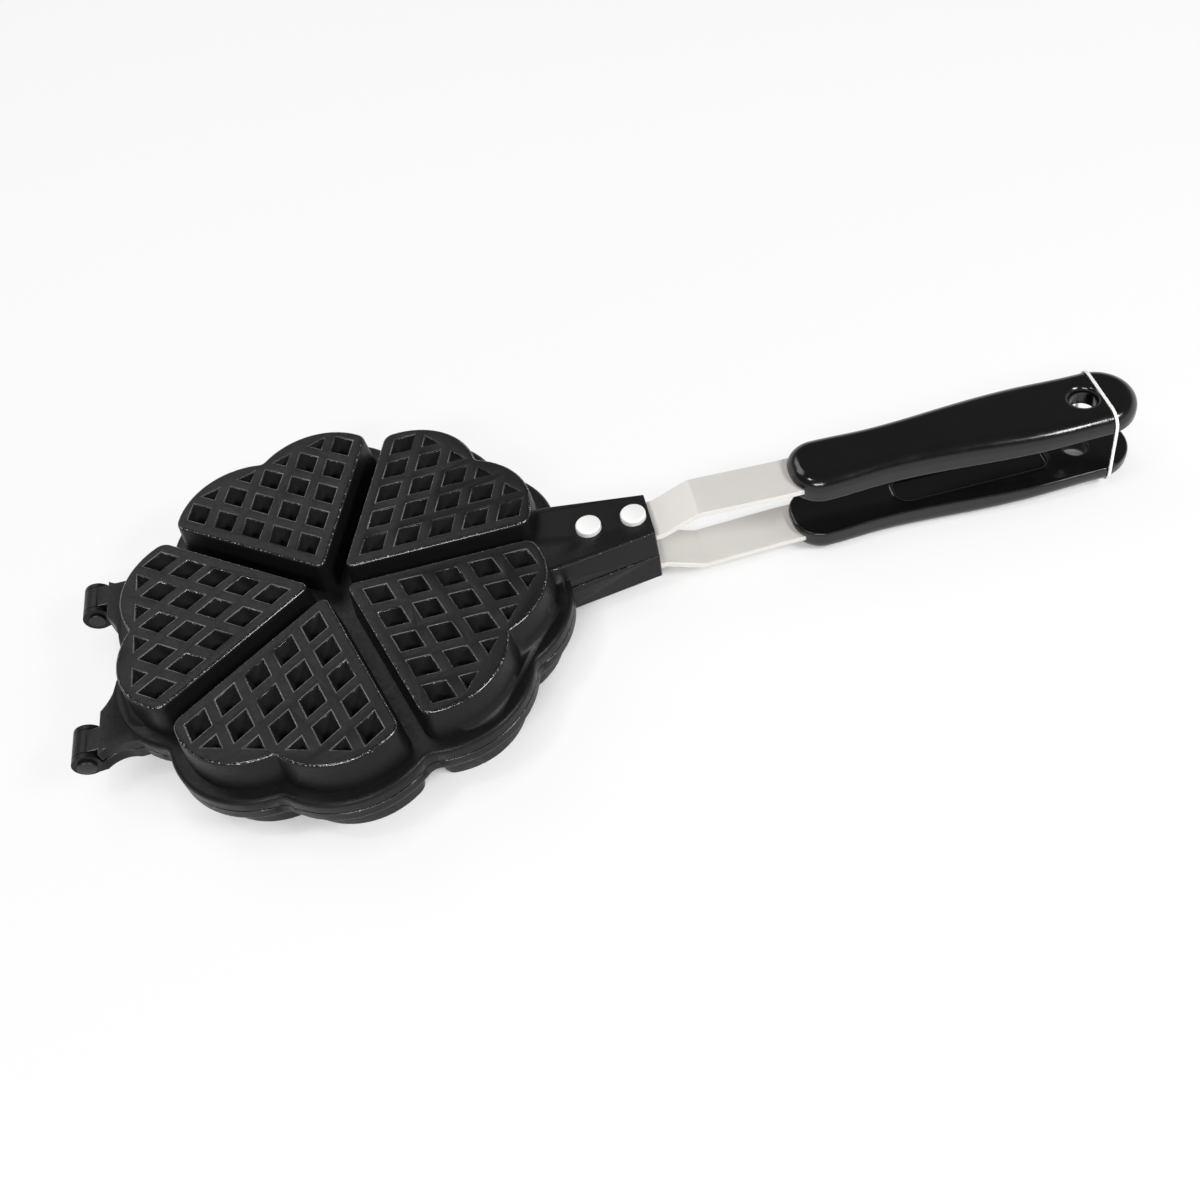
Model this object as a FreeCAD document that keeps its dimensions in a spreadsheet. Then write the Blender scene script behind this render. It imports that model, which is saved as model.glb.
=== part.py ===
import FreeCAD, Part
import math
import os

from FreeCAD import Placement, Rotation, Vector

# Stovetop waffle iron: two cast halves with five hearts, hinged opposite the handle.
# The origin is the centre of the hearts on the plane that the iron rests on.
# +X runs to the handle, +Y to the back, +Z up; lengths are in millimetres, angles in degrees.

doc = FreeCAD.newDocument("stovetop_waffle_iron")
sheet = doc.addObject("Spreadsheet::Sheet", "sizes")

SIZES = {
    # closed iron
    "closed_depth": 35.0,
    "seam_gap": 0.4,
    # heart outline, seen from above, along its own axis
    "groove_width": 7.6,
    "lobe_radius": 25.8,
    "lobe_out": 47.3,
    "lobe_aside": 14.0,
    "heart_tip_round": 2.5,
    "heart_corner_round": 4.5,
    "cleft_round": 2.5,
    "heart_rise": 12.6,
    "heart_draft": 6.0,
    "heart_edge_round": 1.1,
    # rim flange round the hearts
    "rim_reach": 6.2,
    "rim_cleft_round": 4.5,
    "rim_edge_round": 1.6,
    # pits outside and the studs behind them
    "first_pit": 20.1,
    "pit_pitch": 12.0,
    "pit_side": 7.7,
    "pit_depth": 6.0,
    "pit_draft": 14.0,
    "pit_reach": 67.0,
    "stud_side": 7.2,
    "stud_reach": 66.4,
    "stud_rise": 6.0,
    "stud_draft": 12.0,
    # batter hollow inside each heart
    "floor_thickness": 8.0,
    "heart_wall": 3.4,
    "hollow_draft": 6.0,
    # neck, a trough that takes the bar
    "neck_start": 66.0,
    "neck_root": 76.6,
    "neck_end": 110.2,
    "neck_root_half": 14.6,
    "neck_end_half": 9.3,
    "neck_rise": 11.3,
    "neck_draft": 1.0,
    "neck_top_wall": 3.0,
    "neck_side_wall": 1.6,
    # flat bar, riveted into the neck and moulded into the grip
    "bar_width": 16.8,
    "bar_thickness": 2.0,
    "bar_slack": 0.15,
    "bar_in_neck": 28.2,
    "bar_bend_out": 2.4,
    "bar_shoulder_out": 15.6,
    "bar_shoulder_rise": 13.0,
    "bar_tang_rise": 11.6,
    "bar_tang_out": 4.4,
    "bar_in_grip": 32.6,
    "bar_bend_round": 4.0,
    # rivets through neck and bar
    "rivet_inset": 6.9,
    "rivet_spacing": 15.7,
    "rivet_shank": 5.0,
    "rivet_slack": 0.1,
    "rivet_head": 8.8,
    "rivet_rise": 2.4,
    "rivet_round": 0.7,
    "rivet_tail": 8.0,
    "rivet_tail_rise": 1.4,
    # hinge
    "hinge_out": 89.0,
    "lug_aside": 31.9,
    "lug_width": 13.2,
    "lug_root": 66.0,
    "arm_rise": 4.6,
    "arm_inner_start": 78.6,
    "arm_inner_aside": 9.5,
    "arm_inner_flare": 4.3,
    "arm_inner_hollow": 20.0,
    "arm_outer_start": 73.0,
    "arm_outer_inset": 1.9,
    "arm_outer_hollow": 10.0,
    "knuckle_radius": 5.0,
    "tongue_width": 9.2,
    "knuckle_gap": 0.3,
    "pin_radius": 1.9,
    "pin_play": 0.05,
    "pin_seat_slack": 0.02,
    "pin_head_radius": 3.1,
    "pin_head_rise": 1.3,
    # grip
    "grip_front": 159.4,
    "grip_length": 122.1,
    "grip_inner": 8.0,
    "grip_front_round": 10.4,
    "grip_shoulder_half": 11.9,
    "grip_waist_along": 27.7,
    "grip_waist_half": 11.0,
    "grip_belly_along": 62.6,
    "grip_swell_along": 85.8,
    "grip_swell_half": 14.3,
    "grip_tail_round": 13.9,
    "grip_front_rise": 17.4,
    "grip_waist_rise": 17.3,
    "grip_belly_rise": 17.2,
    "grip_swell_rise": 16.0,
    "grip_tail_rise": 16.1,
    "grip_edge_round": 4.8,
    "grip_inner_round": 1.0,
    # hanging hole and panel in the grip
    "hole_from_tail": 18.2,
    "hole_radius": 4.4,
    "hole_outer_round": 2.6,
    "hole_mouth_sink": 0.1,
    "hole_inner_round": 0.3,
    "panel_along": 37.6,
    "panel_length": 55.0,
    "panel_half": 6.2,
    "panel_round": 4.5,
    "panel_depth": 1.8,
    "panel_lip": 0.7,
    "panel_lip_rise": 0.3,
    # elastic band round both grips
    "band_from_tail": 11.9,
    "band_width": 1.1,
    "band_thickness": 0.5,
    "band_slack": 0.15,
}

for row, (alias, value) in enumerate(SIZES.items(), start=1):
    sheet.set(f"A{row}", alias)
    sheet.set(f"B{row}", str(value))
    sheet.setAlias(f"B{row}", alias)
doc.recompute()


def size(alias):
    return float(sheet.get(alias))


HEARTS = 5
PIT_ROWS = 5
heart_step = 360.0 / HEARTS
heart_half = math.radians(heart_step / 2)
middle = size("closed_depth") / 2
seam = middle - size("seam_gap") / 2
overrun = size("seam_gap") + size("floor_thickness")
same_place = size("seam_gap") / 8
grip_tail = size("grip_front") + size("grip_length")


def plane(body, role):
    return next(f for f in body.Origin.OriginFeatures if f.Role == role)


def sketch(body, name, role, curves, level=None):
    """A sketch on one of the body's origin planes, moved out to a level of the sheet."""
    drawn = body.newObject("Sketcher::SketchObject", name)
    drawn.AttachmentSupport = [(plane(body, role), "")]
    drawn.MapMode = "FlatFace"
    if level is not None:
        drawn.setExpression(".AttachmentOffset.Base.z", level)
    for curve in curves:
        drawn.addGeometry(curve, False)
    return drawn


def closed_lines(points):
    return [Part.LineSegment(a, b) for a, b in zip(points, points[1:] + points[:1])]


def arc_between(centre, start, end, turn):
    """The arc about a centre from start to end; turn is 1 for anticlockwise, -1 for clockwise."""
    radius = centre.distanceToPoint(start)
    first = math.atan2(start.y - centre.y, start.x - centre.x)
    last = math.atan2(end.y - centre.y, end.x - centre.x)
    if turn < 0:
        first, last = last, first
    if last < first:
        last += 2 * math.pi
    circle = Part.Circle(centre, Vector(0, 0, 1), radius)
    return Part.ArcOfCircle(circle, first, last)


def polar(radius, angle):
    return Vector(radius * math.cos(angle), radius * math.sin(angle), 0)


def notch(first, second, radius, rounding):
    """The rounding circle in the notch between two equal lobes, outside of both: its centre
    and the points where it touches the first and the second lobe."""
    between = (first + second) * 0.5
    outward = Vector(between).normalize()
    half = first.distanceToPoint(second) / 2
    centre = between + outward * math.sqrt((radius + rounding) ** 2 - half ** 2)
    touch = [lobe + (centre - lobe).normalize() * radius for lobe in (first, second)]
    return centre, touch[0], touch[1]


def heart_curves(inset):
    """One heart about the +X axis: two straight sides, a rounded tip, two lobes and a cleft.
    The inset moves every side inwards."""
    radius = size("lobe_radius") - inset
    side_shift = size("groove_width") / 2 + inset
    corner = max(size("heart_corner_round") - inset, size("heart_edge_round"))
    tip_round = size("heart_tip_round")
    upper = Vector(size("lobe_out"), size("lobe_aside"), 0)
    lower = Vector(upper.x, -upper.y, 0)
    along = polar(1, heart_half)
    inward = Vector(along.y, -along.x, 0)
    tip = Vector(side_shift / math.sin(heart_half), 0, 0)
    lobe_along = (upper - tip).dot(along)
    lobe_in = (upper - tip).dot(inward)
    reach = math.sqrt((radius - corner) ** 2 - (lobe_in - corner) ** 2)
    corner_centre = tip + along * (lobe_along + reach) + inward * corner
    corner_side = corner_centre - inward * corner
    corner_lobe = upper + (corner_centre - upper).normalize() * radius
    tip_centre = tip + Vector(tip_round / math.sin(heart_half), 0, 0)
    tip_side = tip + along * (tip_round / math.tan(heart_half))
    cleft, cleft_lower, cleft_upper = notch(lower, upper, radius, size("cleft_round") + inset)

    def under(point):
        return Vector(point.x, -point.y, 0)

    return [
        Part.LineSegment(tip_side, corner_side),
        arc_between(corner_centre, corner_lobe, corner_side, 1),
        arc_between(upper, cleft_upper, corner_lobe, 1),
        arc_between(cleft, cleft_upper, cleft_lower, 1),
        arc_between(lower, under(corner_lobe), cleft_lower, 1),
        arc_between(under(corner_centre), under(corner_side), under(corner_lobe), 1),
        Part.LineSegment(under(corner_side), under(tip_side)),
        arc_between(tip_centre, tip_side, under(tip_side), 1),
    ]


def turn_curves(curves, angle):
    spin = FreeCAD.Placement(Vector(), Rotation(Vector(0, 0, 1), math.degrees(angle))).toMatrix()
    moved = []
    for curve in curves:
        copy = curve.copy()
        copy.transform(spin)
        moved.append(copy)
    return moved


def rim_curves():
    """The rim: ten lobes, two for each heart, with rounded notches between them."""
    radius = size("lobe_radius") + size("rim_reach")
    rounding = size("rim_cleft_round")
    ring = math.hypot(size("lobe_out"), size("lobe_aside"))
    spread = math.atan2(size("lobe_aside"), size("lobe_out"))
    angles = []
    for heart in range(HEARTS):
        axis = heart_half + math.radians(heart_step) * heart
        angles += [axis - spread, axis + spread]
    lobes = [polar(ring, angle) for angle in angles]
    curves = []
    for index, lobe in enumerate(lobes):
        before = notch(lobes[index - 1], lobe, radius, rounding)
        after = notch(lobe, lobes[(index + 1) % len(lobes)], radius, rounding)
        curves.append(arc_between(lobe, before[2], after[1], 1))
        curves.append(arc_between(after[0], after[2], after[1], 1))
    return curves


def lattice_outlines(side, reach):
    """The diamonds of one heart: full ones in rows, and three-cornered ones up to a reach."""
    along = polar(1, heart_half)
    across = Vector(along.x, -along.y, 0)
    pitch = size("pit_pitch")
    outlines = []
    for first in range(PIT_ROWS + 1):
        for second in range(PIT_ROWS + 1 - first):
            centre = Vector(size("first_pit"), 0, 0) + along * (pitch * first) + across * (pitch * second)
            near = centre - (along + across) * (side / 2)
            far = centre + (along + across) * (side / 2)
            left = centre + (along - across) * (side / 2)
            right = centre - (along - across) * (side / 2)
            if first + second < PIT_ROWS:
                outlines.append([near, right, far, left])
            elif first > 0 and second > 0:
                half = (reach - near.x) * math.tan(heart_half)
                outlines.append([near, Vector(reach, near.y - half, 0), Vector(reach, near.y + half, 0)])
    return outlines


def frustum(low, high):
    """A solid with flat sides between two outlines of as many corners."""
    outlines = [low, high]
    for index in range(len(low)):
        following = (index + 1) % len(low)
        outlines.append([low[index], low[following], high[following], high[index]])
    faces = [Part.Face(Part.makePolygon(points + points[:1])) for points in outlines]
    return Part.Solid(Part.Shell(faces))


def lattice_blocks(name, side, reach, rise, draft, level):
    """The diamonds of every heart as blocks on a level, which narrow upwards by their draft."""
    inset = rise * math.tan(math.radians(draft))
    narrowed = side - 2 * inset / math.sin(2 * heart_half)
    blocks = []
    for foot, top in zip(lattice_outlines(side, reach), lattice_outlines(narrowed, reach - inset)):
        low = [point + Vector(0, 0, level) for point in foot]
        high = [point + Vector(0, 0, level + rise) for point in top]
        blocks.append(frustum(low, high))
    turned = []
    for heart in range(HEARTS):
        for block in blocks:
            copy = block.copy()
            copy.rotate(Vector(), Vector(0, 0, 1), heart_step * heart + heart_step / 2)
            turned.append(copy)
    feature = doc.addObject("Part::Feature", name)
    feature.Shape = Part.makeCompound(turned)
    return feature


def round_pattern(body, name, features):
    """The features of one heart, repeated about the plate's centre."""
    pattern = body.newObject("PartDesign::PolarPattern", name)
    pattern.Originals = features
    pattern.Axis = (plane(body, "Z_Axis"), [""])
    pattern.Angle = 360
    pattern.Occurrences = HEARTS
    body.Tip = pattern
    doc.recompute()
    return pattern


def edge_names(shape, wanted):
    """The names of the shape's edges that pass a test."""
    return [f"Edge{n}" for n, edge in enumerate(shape.Edges, start=1) if wanted(edge)]


def round_edges(body, name, alias, wanted):
    base = body.Tip
    doc.recompute()
    fillet = body.newObject("PartDesign::Fillet", name)
    fillet.Base = (base, edge_names(base.Shape, wanted))
    fillet.setExpression("Radius", f"sizes.{alias}")
    doc.recompute()
    return fillet


def at_level(edge, level):
    box = edge.BoundBox
    return abs(box.ZMin - level) < same_place and abs(box.ZMax - level) < same_place


def mirror_outline(points):
    """The outline's mirror image across the X axis, in the same turning sense."""
    return [Vector(p.x, -p.y, 0) for p in reversed(points)]


def add_pad(body, name, drawn, length, taper=None):
    pad = body.newObject("PartDesign::Pad", name)
    pad.Profile = drawn
    pad.setExpression("Length", length)
    if taper is not None:
        pad.setExpression("TaperAngle", taper)
    body.Tip = pad
    return pad


def add_pocket(body, name, drawn, length, taper=None):
    pocket = body.newObject("PartDesign::Pocket", name)
    pocket.Profile = drawn
    pocket.setExpression("Length", length)
    if taper is not None:
        pocket.setExpression("TaperAngle", taper)
    body.Tip = pocket
    return pocket


def both_ways(feature):
    """Makes a pad or a pocket run equally far to both sides of its sketch."""
    feature.Midplane = True
    return feature


def circle_at(x, y, radius):
    return Part.Circle(Vector(x, y, 0), Vector(0, 0, 1), radius)


def hollow_arc(start, end, radius):
    """An arc between two points, with its hollow side to the left of the way from start to end."""
    chord = end - start
    left = Vector(-chord.y, chord.x, 0).normalize()
    centre = (start + end) * 0.5 + left * math.sqrt(radius ** 2 - (chord.Length / 2) ** 2)
    return arc_between(centre, start, end, 1)


def arm_curves(fork, side):
    """One arm from the rim to the hinge, waisted on both sides, on the side of +Y or -Y. A fork's
    arm runs on to the hinge line, and the other stops short of the fork's ears."""
    near = size("lug_aside") - size("lug_width") / 2
    far = size("lug_aside") + size("lug_width") / 2
    stop = size("hinge_out") - size("knuckle_radius") - size("knuckle_gap")
    inner = Vector(-size("arm_inner_start"), side * size("arm_inner_aside"), 0)
    outer = Vector(-size("arm_outer_start"), side * (far - size("arm_outer_inset")), 0)
    flare = Vector(-stop, side * (near - size("arm_inner_flare")), 0)
    corner = Vector(-stop, side * far, 0)
    end = [flare, corner]
    if fork:
        past_pin = size("hinge_out") - size("pin_head_radius") - size("knuckle_gap")
        ear = ((past_pin, near), (size("hinge_out"), near), (size("hinge_out"), far))
        end[1:1] = [Vector(-x, side * y, 0) for x, y in ear]
    root = [outer, Vector(-size("lug_root"), outer.y, 0), Vector(-size("lug_root"), inner.y, 0), inner]
    curves = []
    for a, b, radius in ((inner, flare, "arm_inner_hollow"), (corner, outer, "arm_outer_hollow")):
        way = (a, b) if side > 0 else (b, a)
        curves.append(hollow_arc(*way, size(radius)))
    for points in (end, root):
        curves += [Part.LineSegment(a, b) for a, b in zip(points, points[1:])]
    return curves


def lug_block(near_x, far_x, half_width):
    """A rectangle about the lug's middle line, between two distances from the plate's centre."""
    low = size("lug_aside") - half_width
    high = size("lug_aside") + half_width
    corners = ((near_x, low), (near_x, high), (far_x, high), (far_x, low))
    return [Vector(-x, y, 0) for x, y in corners]


def add_hinge(body, name, fork):
    """Two lugs with knuckles: a fork takes the other half's tongue between its ears."""
    width = "sizes.lug_width" if fork else "sizes.tongue_width"
    arm_level = "sizes.closed_depth / 2 - sizes.arm_rise"
    arm_depth = "sizes.arm_rise - sizes.seam_gap / 2"
    both_arms = arm_curves(fork, 1) + arm_curves(fork, -1)
    drawn = sketch(body, f"{name}_arms_plan", "XY_Plane", both_arms, arm_level)
    add_pad(body, f"{name}_arms", drawn, arm_depth)
    if not fork:
        root = lug_block(size("lug_root"), size("hinge_out"), size("tongue_width") / 2)
        curves = closed_lines(root) + closed_lines(mirror_outline(root))
        drawn = sketch(body, f"{name}_tongues_plan", "XY_Plane", curves, arm_level)
        add_pad(body, f"{name}_tongues", drawn, arm_depth)
    for side, offset in (("left", "-sizes.lug_aside"), ("right", "sizes.lug_aside")):
        ring = [circle_at(-size("hinge_out"), middle, size("knuckle_radius"))]
        drawn = sketch(body, f"{name}_{side}_knuckle_ring", "XZ_Plane", ring, offset)
        both_ways(add_pad(body, f"{name}_{side}_knuckle", drawn, width))
    if fork:
        slot_half = size("tongue_width") / 2 + size("knuckle_gap")
        slot_start = size("hinge_out") - size("knuckle_radius") - size("knuckle_gap")
        slot = lug_block(slot_start, size("hinge_out") + 2 * size("knuckle_radius"), slot_half)
        curves = closed_lines(slot) + closed_lines(mirror_outline(slot))
        drawn = sketch(body, f"{name}_slot_plan", "XY_Plane", curves, "sizes.closed_depth")
        add_pocket(body, f"{name}_slots", drawn, "sizes.closed_depth")
    slack = size("pin_seat_slack") if fork else size("pin_play")
    bore = [circle_at(-size("hinge_out"), middle, size("pin_radius") + slack)]
    drawn = sketch(body, f"{name}_bore_ring", "XZ_Plane", bore)
    both_ways(add_pocket(body, f"{name}_bores", drawn, "4 * sizes.lug_aside"))


def neck_outline(inset_end, inset_root, start, end):
    """The neck's tapering plan, drawn in from its sides by two insets."""
    root_half = size("neck_root_half") - inset_root
    end_half = size("neck_end_half") - inset_end
    slope = (root_half - end_half) / (size("neck_end") - size("neck_root"))
    tail_half = end_half - slope * (end - size("neck_end"))
    root = max(start, size("neck_root"))
    upper = [Vector(start, root_half, 0), Vector(end, tail_half, 0)]
    if start < root:
        upper.insert(1, Vector(root, root_half, 0))
    return upper + [Vector(p.x, -p.y, 0) for p in reversed(upper)]


def cast_blank(name, fork):
    """One casting without its pits and studs, outer side down: rim, hearts, hollows, neck, lugs."""
    body = doc.addObject("PartDesign::Body", f"{name}_blank")

    drawn = sketch(body, f"{name}_rim_outline", "XY_Plane", rim_curves(), "sizes.heart_rise")
    rim_depth = "(sizes.closed_depth - sizes.seam_gap) / 2 - sizes.heart_rise"
    add_pad(body, f"{name}_rim", drawn, rim_depth)
    round_edges(body, f"{name}_rim_edges", "rim_edge_round", lambda e: at_level(e, size("heart_rise")))

    drawn = sketch(body, f"{name}_heart_outline", "XY_Plane", turn_curves(heart_curves(0), heart_half))
    heart_depth = "sizes.heart_rise + sizes.heart_edge_round"
    heart = add_pad(body, f"{name}_heart", drawn, heart_depth, "sizes.heart_draft")
    doc.recompute()
    round_pattern(body, f"{name}_hearts", [heart])
    round_edges(body, f"{name}_heart_edges", "heart_edge_round", lambda e: at_level(e, 0))

    neck_level = "sizes.closed_depth / 2 - sizes.neck_rise"
    plan = closed_lines(neck_outline(0, 0, size("neck_start"), size("neck_end")))
    drawn = sketch(body, f"{name}_neck_plan", "XY_Plane", plan, neck_level)
    add_pad(body, f"{name}_neck", drawn, "sizes.neck_rise - sizes.seam_gap / 2", "sizes.neck_draft")
    add_hinge(body, name, fork)

    seam_level = "(sizes.closed_depth - sizes.seam_gap) / 2"
    end_inset = size("neck_end_half") - size("bar_width") / 2 - size("bar_slack")
    trough_start = bar_start() - size("bar_slack")
    plan = closed_lines(
        neck_outline(end_inset, 2 * size("neck_side_wall"), trough_start, size("neck_end") + overrun)
    )
    drawn = sketch(body, f"{name}_trough_plan", "XY_Plane", plan, seam_level)
    add_pocket(body, f"{name}_trough", drawn, "sizes.neck_rise - sizes.neck_top_wall - sizes.seam_gap / 2")
    holes = [circle_at(x, 0, size("rivet_shank") / 2 + size("rivet_slack")) for x in rivet_places()]
    drawn = sketch(body, f"{name}_rivet_rings", "XY_Plane", holes, seam_level)
    add_pocket(body, f"{name}_rivet_holes", drawn, "sizes.closed_depth / 2")
    inner = turn_curves(heart_curves(size("heart_wall")), heart_half)
    drawn = sketch(body, f"{name}_hollow_plan", "XY_Plane", inner, seam_level)
    depth = "(sizes.closed_depth - sizes.seam_gap) / 2 - sizes.floor_thickness"
    hollow = add_pocket(body, f"{name}_hollow", drawn, depth, "-sizes.hollow_draft")
    doc.recompute()
    round_pattern(body, f"{name}_hollows", [hollow])
    return body


def casting(name, blank, pits, studs):
    """The blank with its pits sunk from outside and its studs standing in the hollows."""
    pitted = doc.addObject("Part::Cut", f"{name}_pitted")
    pitted.Base = blank
    pitted.Tool = pits
    whole = doc.addObject("Part::Fuse", f"{name}_casting")
    whole.Base = pitted
    whole.Tool = studs
    whole.Label = name
    return whole


def bar_start():
    return size("neck_end") - size("bar_in_neck")


def rivet_places():
    first = bar_start() + size("rivet_inset")
    return [first, first + size("rivet_spacing")]


def bar_levels():
    """The flat bar's middle line, seen from the side, as rises above the iron's middle plane."""
    neck_rise = size("neck_rise") - size("neck_top_wall") - size("bar_thickness") / 2
    return [
        Vector(bar_start(), neck_rise, 0),
        Vector(size("neck_end") + size("bar_bend_out"), neck_rise, 0),
        Vector(size("neck_end") + size("bar_shoulder_out"), size("bar_shoulder_rise"), 0),
        Vector(size("grip_front") - size("bar_tang_out"), size("bar_tang_rise"), 0),
        Vector(size("grip_front") + size("bar_in_grip"), size("bar_tang_rise"), 0),
    ]


def offset_line(points, distance):
    """The polyline moved sideways by a distance, with mitred corners."""
    moved = []
    for index, point in enumerate(points):
        before = points[max(index - 1, 0)]
        after = points[min(index + 1, len(points) - 1)]
        ahead = (after - point).normalize() if index < len(points) - 1 else (point - before).normalize()
        behind = (point - before).normalize() if index > 0 else ahead
        normals = [Vector(-d.y, d.x, 0) for d in (behind, ahead)]
        mitre = (normals[0] + normals[1]).normalize()
        moved.append(point + mitre * (distance / mitre.dot(normals[0])))
    return moved


def flat_bar(name):
    body = doc.addObject("PartDesign::Body", name)
    body.Label = name
    half = size("bar_thickness") / 2
    outline = offset_line(bar_levels(), half) + offset_line(bar_levels(), -half)[::-1]
    drawn = sketch(body, f"{name}_side", "XZ_Plane", closed_lines(outline))
    both_ways(add_pad(body, f"{name}_strip", drawn, "sizes.bar_width"))
    doc.recompute()
    first = bar_start() + half
    last = size("grip_front") + size("bar_in_grip") - half
    round_edges(
        body,
        f"{name}_bends",
        "bar_bend_round",
        lambda e: e.BoundBox.YLength > size("bar_width") / 2 and first < e.BoundBox.Center.x < last,
    )
    holes = [circle_at(x, 0, size("rivet_shank") / 2 + size("rivet_slack")) for x in rivet_places()]
    drawn = sketch(body, f"{name}_hole_rings", "XY_Plane", holes, "sizes.closed_depth")
    add_pocket(body, f"{name}_holes", drawn, "sizes.closed_depth")
    doc.recompute()
    return body


def turned_piece(name, curves):
    """A piece turned about its own Z axis, from its half profile in the XZ plane."""
    body = doc.addObject("PartDesign::Body", name)
    body.Label = name
    drawn = sketch(body, f"{name}_half_profile", "XZ_Plane", curves)
    turning = body.newObject("PartDesign::Revolution", f"{name}_turning")
    turning.Profile = drawn
    turning.ReferenceAxis = (drawn, ["V_Axis"])
    turning.Angle = 360
    body.Tip = turning
    doc.recompute()
    return body


def headed_profile(head_radius, head_rise, rounding, shank_radius, shank_length, tail_radius, tail_rise):
    """Half of a flat head with a rounded edge, on a shank with a flat formed tail."""
    foot = -shank_length
    points = [
        Vector(head_radius - rounding, head_rise, 0),
        Vector(0, head_rise, 0),
        Vector(0, foot - tail_rise, 0),
        Vector(tail_radius, foot - tail_rise, 0),
        Vector(tail_radius, foot, 0),
        Vector(shank_radius, foot, 0),
        Vector(shank_radius, 0, 0),
        Vector(head_radius, 0, 0),
        Vector(head_radius, head_rise - rounding, 0),
    ]
    lines = [Part.LineSegment(a, b) for a, b in zip(points, points[1:])]
    centre = Vector(head_radius - rounding, head_rise - rounding, 0)
    return lines + [arc_between(centre, points[-1], points[0], 1)]


def neck_rivet(name):
    profile = headed_profile(
        size("rivet_head") / 2,
        size("rivet_rise"),
        size("rivet_round"),
        size("rivet_shank") / 2,
        size("neck_top_wall") + size("bar_thickness"),
        size("rivet_tail") / 2,
        size("rivet_tail_rise"),
    )
    return turned_piece(name, profile)


def hinge_pin(name):
    """A pin with a rounded head and a peened end, along its own Z axis."""
    profile = headed_profile(
        size("pin_head_radius"),
        size("pin_head_rise"),
        size("pin_head_rise") / 2,
        size("pin_radius"),
        size("lug_width") + 2 * size("knuckle_gap"),
        size("pin_head_radius") - size("knuckle_gap"),
        size("pin_head_rise") / 2,
    )
    return turned_piece(name, profile)


def other_side(point):
    """The same place on the other side of the handle."""
    return Vector(point.x, -point.y, 0)


def grip_plan():
    """The grip from above: a blunt rounded front, a waist, a swell and a round tail."""
    front, rounding = size("grip_front"), size("grip_front_round")
    shoulder = Vector(front + rounding, size("grip_shoulder_half"), 0)
    front_half = shoulder.y - rounding
    tail_radius = size("grip_tail_round")
    tail_centre = Vector(grip_tail - tail_radius, 0, 0)
    tail_side = tail_centre + Vector(0, tail_radius, 0)
    ends = [shoulder, tail_side]
    waist = Vector(front + size("grip_waist_along"), size("grip_waist_half"), 0)
    swell = Vector(front + size("grip_swell_along"), size("grip_swell_half"), 0)
    sides = []
    for side in (1, -1):
        points = [Vector(p.x, side * p.y, 0) for p in (ends[0], waist, swell, ends[1])]
        curve = Part.BSplineCurve()
        curve.interpolate(Points=points, InitialTangent=Vector(1, 0, 0), FinalTangent=Vector(1, 0, 0))
        sides.append(curve)
    corner = Vector(shoulder.x, front_half, 0)
    front_end = Vector(front, front_half, 0)
    return [
        Part.LineSegment(other_side(front_end), front_end),
        arc_between(corner, shoulder, front_end, 1),
        sides[0],
        arc_between(tail_centre, other_side(tail_side), tail_side, 1),
        sides[1],
        arc_between(other_side(corner), other_side(front_end), other_side(shoulder), 1),
    ]


def grip_back():
    """The line of the grip's outer back, seen from the side."""
    front = size("grip_front")
    stations = [
        Vector(front - size("grip_front_round"), size("grip_front_rise"), 0),
        Vector(front + size("grip_waist_along"), size("grip_waist_rise"), 0),
        Vector(front + size("grip_belly_along"), size("grip_belly_rise"), 0),
        Vector(front + size("grip_swell_along"), size("grip_swell_rise"), 0),
        Vector(grip_tail + size("grip_inner_round"), size("grip_tail_rise"), 0),
    ]
    curve = Part.BSplineCurve()
    curve.interpolate(stations)
    return curve


def grip_rise_at(x):
    """The rise of the grip's back at a distance along the handle."""
    upright = Part.LineSegment(Vector(x, 0, 0), Vector(x, size("closed_depth"), 0))
    met = grip_back().intersect(upright)[0]
    return met.Y


def rounded_box(middle_x, half_length, half_width, corner):
    """A rectangle about a place on the X axis, with its corners rounded."""
    wide, high = half_length - corner, half_width - corner
    turns = [Vector(middle_x + x * wide, y * high, 0) for x, y in ((1, 1), (-1, 1), (-1, -1), (1, -1))]
    ways = [Vector(1, 0, 0), Vector(0, 1, 0), Vector(-1, 0, 0), Vector(0, -1, 0)]
    curves = []
    for index, centre in enumerate(turns):
        begin = centre + ways[index] * corner
        finish = centre + ways[(index + 1) % 4] * corner
        following = turns[(index + 1) % 4] + ways[(index + 1) % 4] * corner
        curves += [arc_between(centre, begin, finish, 1), Part.LineSegment(finish, following)]
    return curves


def hole_mouth(back_rise):
    """Half the flared mouth of the hanging hole: its arc meets the grip's back at a slight angle."""
    rounding = size("hole_outer_round")
    below, above = back_rise - rounding + size("hole_mouth_sink"), size("closed_depth")
    centre = Vector(size("hole_radius") + rounding, below, 0)
    foot = Vector(size("hole_radius"), below, 0)
    lip = centre + Vector(0, rounding, 0)
    outer = Vector(lip.x, above, 0)
    axis_foot, axis_top = Vector(0, below, 0), Vector(0, above, 0)
    turns = closed_lines([lip, outer, axis_top, axis_foot, foot])[:-1]
    return turns + [arc_between(centre, foot, lip, -1)]


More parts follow.
